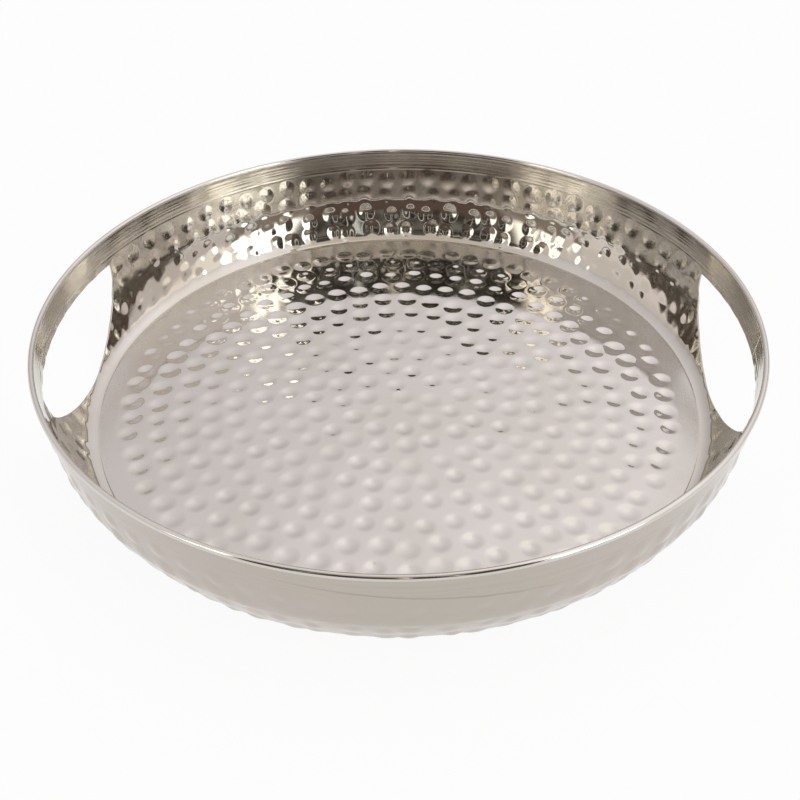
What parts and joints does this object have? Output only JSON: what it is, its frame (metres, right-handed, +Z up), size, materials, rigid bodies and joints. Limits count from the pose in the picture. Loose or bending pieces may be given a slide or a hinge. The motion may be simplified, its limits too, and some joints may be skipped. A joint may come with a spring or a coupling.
{
  "type": "serving tray",
  "caption": "Round hammered metal serving tray with a leaning wall, a beaded rim and half-moon hand slots cut through opposite sides.",
  "frame": {"origin": "centre of the tray's foot, on the table", "axes": "+Z up out of the tray, +X towards the middle of one hand slot, -X towards the other, -Y towards the viewer of the picture"},
  "size_m": [0.356, 0.356, 0.0565],
  "materials": {
    "floor_metal": "hammered sheet, polished and nickel plated",
    "wall_metal": "hammered sheet, polished and nickel plated, with a plain band under the rim",
    "rim_metal": "smooth round bead, polished and nickel plated"
  },
  "bodies": {
    "root": {"floor_panel": "floor_metal", "wall_band": "wall_metal", "rim_ring": "rim_metal"}
  },
  "joints": []
}
